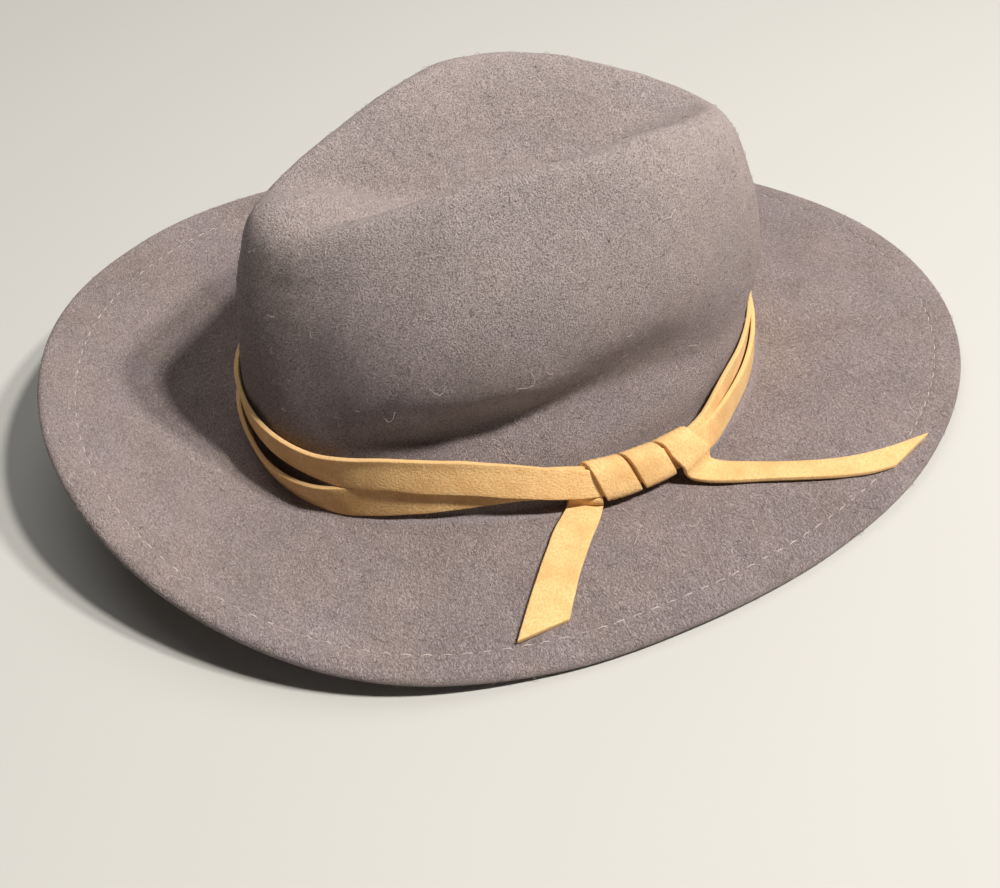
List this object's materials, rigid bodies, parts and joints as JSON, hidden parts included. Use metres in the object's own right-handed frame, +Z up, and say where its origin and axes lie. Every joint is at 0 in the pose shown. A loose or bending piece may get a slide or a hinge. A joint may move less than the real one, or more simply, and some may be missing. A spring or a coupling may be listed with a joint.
{
  "type": "felt fedora hat",
  "caption": "Soft felt fedora with a pinched teardrop crown, a wide brim turned up at the front, and a flat suede lace wound round the crown and knotted at one side.",
  "frame": {"origin": "middle of the hat's bounding box, on the surface the brim rests on", "axes": "+Z up, -Y towards the front of the hat, +X towards the wearer's left, where the lace is knotted"},
  "size_m": [0.2987, 0.36, 0.1168],
  "materials": {
    "felt": "soft brushed wool felt, taupe",
    "lace": "matt suede, light tan"
  },
  "bodies": {
    "root": {"felt_body": "felt", "lace_turns": "lace", "lace_knot": "lace"}
  },
  "joints": []
}
